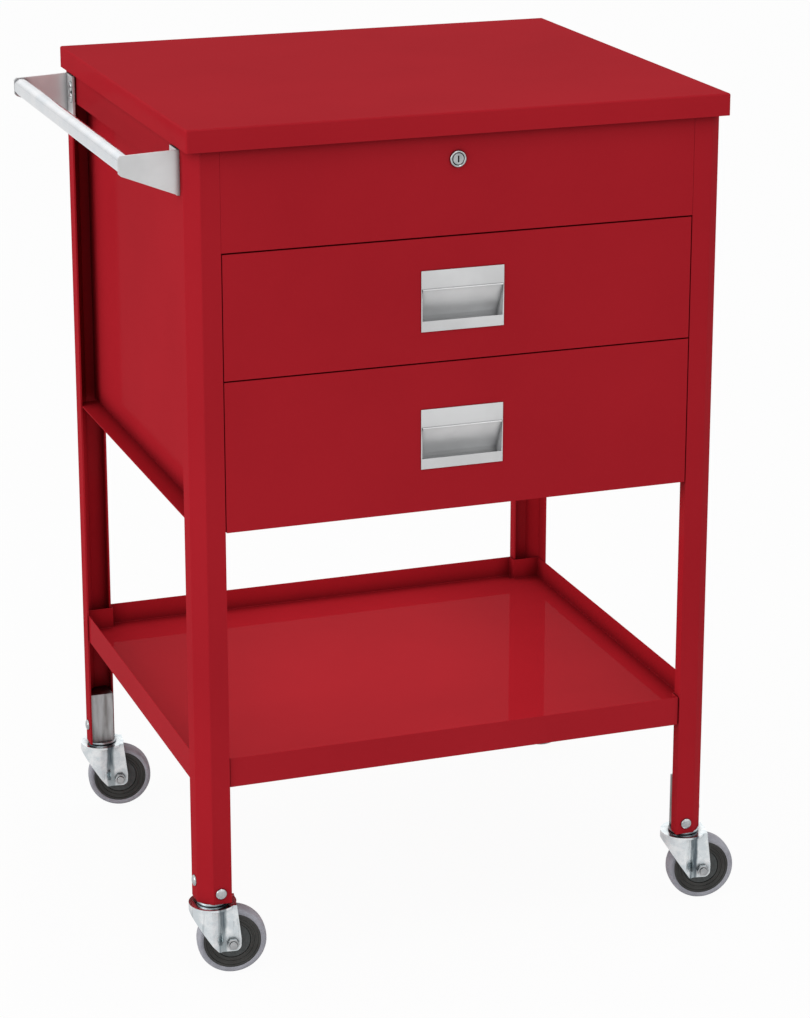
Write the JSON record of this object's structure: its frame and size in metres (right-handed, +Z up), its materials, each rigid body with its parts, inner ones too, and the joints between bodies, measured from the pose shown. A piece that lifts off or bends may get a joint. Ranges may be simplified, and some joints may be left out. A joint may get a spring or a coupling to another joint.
{
  "type": "service cart",
  "caption": "Red steel service cart with a lockable lift-up lid, drawers with recessed pulls, a lower shelf, a side handle and swivel casters.",
  "frame": {"origin": "centre of the whole cart's footprint at floor level, handle and casters included", "axes": "-Y is the front with the drawers, +X is the cart's right seen from the front, +Z is up, the handle stands out towards -X"},
  "size_m": [0.701, 0.535, 0.94],
  "materials": {
    "paint": "semi-gloss powder coat",
    "chrome": "polished",
    "satin": "satin, fine rolled grain",
    "zinc": "bright zinc plate",
    "tread": "matt grey",
    "hub": "moulded"
  },
  "bodies": {
    "cabinet": {"leg_front_left": "paint", "leg_front_right": "paint", "leg_rear_left": "paint", "leg_rear_right": "paint", "side_panel_left": "paint", "side_panel_right": "paint", "back_panel": "paint", "compartment_front": "paint", "compartment_floor": "paint", "drawer_divider": "paint", "cabinet_bottom": "paint", "shelf_tray": "paint", "handle_bar": "chrome", "handle_bracket_front": "chrome", "handle_bracket_rear": "chrome", "handle_screws": "chrome", "hinge_leaf_fixed": "paint", "hinge_pin": "zinc", "lock_body": "chrome", "lock_nut": "zinc", "slide_spacers": "zinc", "slide_channels": "zinc", "caster_sockets": "zinc", "socket_bolts": "zinc", "caster_races": "zinc", "kingpins": "zinc"},
    "lid": {"lid": "paint", "lid_stiffener": "paint", "hinge_leaf_lid": "paint", "lock_strike": "zinc"},
    "lock": {"lock_plug": "chrome", "lock_cam": "zinc"},
    "upper_drawer": {"upper_drawer_box": "paint", "upper_drawer_front": "paint", "upper_drawer_pull": "satin", "upper_slide_rails": "zinc"},
    "upper_middle": {"upper_slide_middles": "zinc"},
    "lower_drawer": {"lower_drawer_box": "paint", "lower_drawer_front": "paint", "lower_drawer_pull": "satin", "lower_slide_rails": "zinc"},
    "lower_middle": {"lower_slide_middles": "zinc"},
    "fork_front_left": {"caster_fork_front_left": "zinc", "axle_bolt_front_left": "zinc"},
    "wheel_front_left": {"wheel_tread_front_left": "tread", "wheel_hub_front_left": "hub"},
    "fork_front_right": {"caster_fork_front_right": "zinc", "axle_bolt_front_right": "zinc"},
    "wheel_front_right": {"wheel_tread_front_right": "tread", "wheel_hub_front_right": "hub"},
    "fork_rear_left": {"caster_fork_rear_left": "zinc", "axle_bolt_rear_left": "zinc"},
    "wheel_rear_left": {"wheel_tread_rear_left": "tread", "wheel_hub_rear_left": "hub"},
    "fork_rear_right": {"caster_fork_rear_right": "zinc", "axle_bolt_rear_right": "zinc"},
    "wheel_rear_right": {"wheel_tread_rear_right": "tread", "wheel_hub_rear_right": "hub"}
  },
  "joints": [
    {"name": "lid_hinge", "type": "hinge", "parent": "cabinet", "child": "lid", "pos_m": [0.012, 0.2628, 0.9124], "axis": [-1, 0, 0], "range_deg": [0, 100]},
    {"name": "lock_turn", "type": "hinge", "parent": "cabinet", "child": "lock", "pos_m": [0.006, -0.2585, 0.889], "axis": [0, 1, 0], "range_deg": [0, 90]},
    {"name": "upper_drawer_slide", "type": "slide", "parent": "cabinet", "child": "upper_drawer", "axis": [0, -1, 0], "range_m": [0, 0.42]},
    {"name": "upper_middle_slide", "type": "slide", "parent": "cabinet", "child": "upper_middle", "axis": [0, -1, 0], "range_m": [0, 0.21]},
    {"name": "lower_drawer_slide", "type": "slide", "parent": "cabinet", "child": "lower_drawer", "axis": [0, -1, 0], "range_m": [0, 0.42]},
    {"name": "lower_middle_slide", "type": "slide", "parent": "cabinet", "child": "lower_middle", "axis": [0, -1, 0], "range_m": [0, 0.21]},
    {"name": "swivel_front_left", "type": "hinge", "parent": "cabinet", "child": "fork_front_left", "pos_m": [-0.2685, -0.2405, 0.083], "axis": [0, 0, 1], "continuous": true},
    {"name": "roll_front_left", "type": "hinge", "parent": "fork_front_left", "child": "wheel_front_left", "pos_m": [-0.2488, -0.24397, 0.0381], "axis": [0.1736, 0.9848, 0], "continuous": true},
    {"name": "swivel_front_right", "type": "hinge", "parent": "cabinet", "child": "fork_front_right", "pos_m": [0.2925, -0.2405, 0.083], "axis": [0, 0, 1], "continuous": true},
    {"name": "roll_front_right", "type": "hinge", "parent": "fork_front_right", "child": "wheel_front_right", "pos_m": [0.3122, -0.24397, 0.0381], "axis": [0.1736, 0.9848, 0], "continuous": true},
    {"name": "swivel_rear_left", "type": "hinge", "parent": "cabinet", "child": "fork_rear_left", "pos_m": [-0.2685, 0.2415, 0.083], "axis": [0, 0, 1], "continuous": true},
    {"name": "roll_rear_left", "type": "hinge", "parent": "fork_rear_left", "child": "wheel_rear_left", "pos_m": [-0.2488, 0.23803, 0.0381], "axis": [0.1736, 0.9848, 0], "continuous": true},
    {"name": "swivel_rear_right", "type": "hinge", "parent": "cabinet", "child": "fork_rear_right", "pos_m": [0.2925, 0.2415, 0.083], "axis": [0, 0, 1], "continuous": true},
    {"name": "roll_rear_right", "type": "hinge", "parent": "fork_rear_right", "child": "wheel_rear_right", "pos_m": [0.3122, 0.23803, 0.0381], "axis": [0.1736, 0.9848, 0], "continuous": true}
  ],
  "couplings": [
    {"joint": "upper_middle_slide", "follows": "upper_drawer_slide", "ratio": 0.5},
    {"joint": "lower_middle_slide", "follows": "lower_drawer_slide", "ratio": 0.5}
  ]
}
